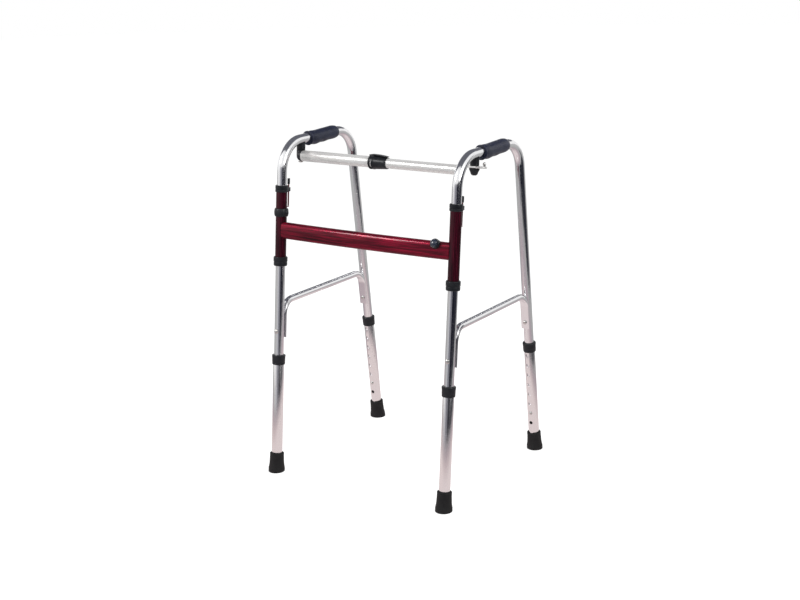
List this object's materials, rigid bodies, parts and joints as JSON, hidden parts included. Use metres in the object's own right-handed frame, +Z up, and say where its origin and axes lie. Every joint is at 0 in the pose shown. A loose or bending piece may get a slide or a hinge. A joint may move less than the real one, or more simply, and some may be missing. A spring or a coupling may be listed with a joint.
{
  "type": "folding walking frame",
  "caption": "Folding walking frame with hinged side frames, telescopic legs with snap buttons, moulded handgrips, a bowed crossbar and a telescopic bar between the handles.",
  "frame": {"origin": "on the floor, in the middle of the four feet", "axes": "+Z up, -Y to the front, where the user walks to, +X to the user's left"},
  "size_m": [0.5089, 0.4727, 0.7838],
  "materials": {
    "aluminium": "polished",
    "steel": "satin",
    "red_lacquer": "gloss",
    "black_plastic": "satin",
    "black_rubber": "matte",
    "grip_vinyl": "satin"
  },
  "bodies": {
    "front_frame": {"crossbar": "red_lacquer", "push_knob_bezel": "black_plastic", "right_sleeve": "red_lacquer", "left_sleeve": "red_lacquer", "right_sleeve_top_collar": "black_plastic", "left_sleeve_top_collar": "black_plastic", "right_sleeve_bottom_collar": "black_plastic", "left_sleeve_bottom_collar": "black_plastic", "right_lever_bracket": "red_lacquer", "left_lever_bracket": "red_lacquer"},
    "crossbar_knob": {"push_knob": "black_plastic"},
    "sleeve_lock_ring": {"lock_ring": "black_plastic"},
    "right_lock_lever": {"right_lever_strip": "red_lacquer", "right_lever_tip": "black_plastic"},
    "left_lock_lever": {"left_lever_strip": "red_lacquer", "left_lever_tip": "black_plastic"},
    "right_side": {"right_side_tube": "aluminium", "right_handgrip": "grip_vinyl", "right_brace": "aluminium", "right_front_brace_rivet": "steel", "right_rear_brace_rivet": "steel", "right_front_clip_spring": "steel", "right_rear_clip_spring": "steel", "right_bar_bush": "black_plastic", "right_pivot_bolt": "steel"},
    "left_side": {"left_side_tube": "aluminium", "left_handgrip": "grip_vinyl", "left_brace": "aluminium", "left_front_brace_rivet": "steel", "left_rear_brace_rivet": "steel", "left_front_clip_spring": "steel", "left_rear_clip_spring": "steel", "left_bar_bush": "black_plastic", "left_pivot_bolt": "steel"},
    "right_front_leg": {"right_front_leg_tube": "aluminium", "right_front_leg_collar": "black_plastic", "right_front_foot": "black_rubber"},
    "right_rear_leg": {"right_rear_leg_tube": "aluminium", "right_rear_leg_collar": "black_plastic", "right_rear_foot": "black_rubber"},
    "left_front_leg": {"left_front_leg_tube": "aluminium", "left_front_leg_collar": "black_plastic", "left_front_foot": "black_rubber"},
    "left_rear_leg": {"left_rear_leg_tube": "aluminium", "left_rear_leg_collar": "black_plastic", "left_rear_foot": "black_rubber"},
    "right_front_snap": {"right_front_button": "steel"},
    "right_rear_snap": {"right_rear_button": "steel"},
    "left_front_snap": {"left_front_button": "steel"},
    "left_rear_snap": {"left_rear_button": "steel"},
    "bar_outer": {"bar_outer_tube": "aluminium", "bar_end_plug": "black_plastic", "bar_clamp": "black_plastic", "clamp_pin": "steel", "bar_washer": "black_plastic"},
    "bar_clamp_lever": {"clamp_lever": "black_plastic"},
    "bar_inner": {"bar_inner_tube": "aluminium", "bar_knob": "black_plastic", "bar_end_stud": "steel"}
  },
  "joints": [
    {"name": "right_fold", "type": "hinge", "parent": "front_frame", "child": "right_side", "pos_m": [-0.23, -0.217, 0], "axis": [0, -0.0958, -0.9954], "range_deg": [0, 73]},
    {"name": "left_fold", "type": "hinge", "parent": "front_frame", "child": "left_side", "pos_m": [0.23, -0.217, 0], "axis": [0, 0.0958, 0.9954], "range_deg": [0, 42]},
    {"name": "bar_turn", "type": "hinge", "parent": "right_side", "child": "bar_outer", "pos_m": [-0.23, -0.07638, 0.73], "axis": [0, 0.0958, 0.9954], "range_deg": [-0.5, 80.6]},
    {"name": "bar_slide", "type": "slide", "parent": "bar_outer", "child": "bar_inner", "axis": [-1, 0, 0], "range_m": [-0.0005, 0.0645]},
    {"name": "clamp_lever_turn", "type": "hinge", "parent": "bar_outer", "child": "bar_clamp_lever", "pos_m": [-0.03, -0.07488, 0.74563], "axis": [0, -0.9954, 0.0958], "range_deg": [0, 100]},
    {"name": "right_lock_lever_turn", "type": "hinge", "parent": "front_frame", "child": "right_lock_lever", "pos_m": [-0.23, -0.13147, 0.62217], "axis": [-1, 0, 0], "range_deg": [0, 6], "stiffness_Nm_per_rad": 0.15},
    {"name": "left_lock_lever_turn", "type": "hinge", "parent": "front_frame", "child": "left_lock_lever", "pos_m": [0.23, -0.13147, 0.62217], "axis": [-1, 0, 0], "range_deg": [0, 6], "stiffness_Nm_per_rad": 0.15},
    {"name": "lock_ring_turn", "type": "hinge", "parent": "front_frame", "child": "sleeve_lock_ring", "pos_m": [-0.23, -0.1581, 0.61167], "axis": [0, 0.0958, 0.9954], "range_deg": [0, 45]},
    {"name": "push_knob_slide", "type": "slide", "parent": "front_frame", "child": "crossbar_knob", "axis": [0, 0.8616, -0.5075], "range_m": [0, 0.004], "stiffness_N_per_m": 400},
    {"name": "right_front_leg_slide", "type": "slide", "parent": "right_side", "child": "right_front_leg", "axis": [0, -0.0958, -0.9954], "range_m": [0, 0.1524]},
    {"name": "right_rear_leg_slide", "type": "slide", "parent": "right_side", "child": "right_rear_leg", "axis": [0, 0.1201, -0.9928], "range_m": [0, 0.1524]},
    {"name": "left_front_leg_slide", "type": "slide", "parent": "left_side", "child": "left_front_leg", "axis": [0, -0.0958, -0.9954], "range_m": [0, 0.1524]},
    {"name": "left_rear_leg_slide", "type": "slide", "parent": "left_side", "child": "left_rear_leg", "axis": [0, 0.1201, -0.9928], "range_m": [0, 0.1524]},
    {"name": "right_front_button_press", "type": "slide", "parent": "right_side", "child": "right_front_snap", "axis": [0, -0.9954, 0.0958], "range_m": [0, 0.0041], "stiffness_N_per_m": 300},
    {"name": "right_rear_button_press", "type": "slide", "parent": "right_side", "child": "right_rear_snap", "axis": [0, 0.9928, 0.1201], "range_m": [0, 0.0041], "stiffness_N_per_m": 300},
    {"name": "left_front_button_press", "type": "slide", "parent": "left_side", "child": "left_front_snap", "axis": [0, -0.9954, 0.0958], "range_m": [0, 0.0041], "stiffness_N_per_m": 300},
    {"name": "left_rear_button_press", "type": "slide", "parent": "left_side", "child": "left_rear_snap", "axis": [0, 0.9928, 0.1201], "range_m": [0, 0.0041], "stiffness_N_per_m": 300}
  ],
  "couplings": [
    {"joint": "bar_turn", "follows": "right_fold", "ratio": 1.0984},
    {"joint": "bar_slide", "follows": "right_fold", "m_per_rad": 0.050098}
  ]
}
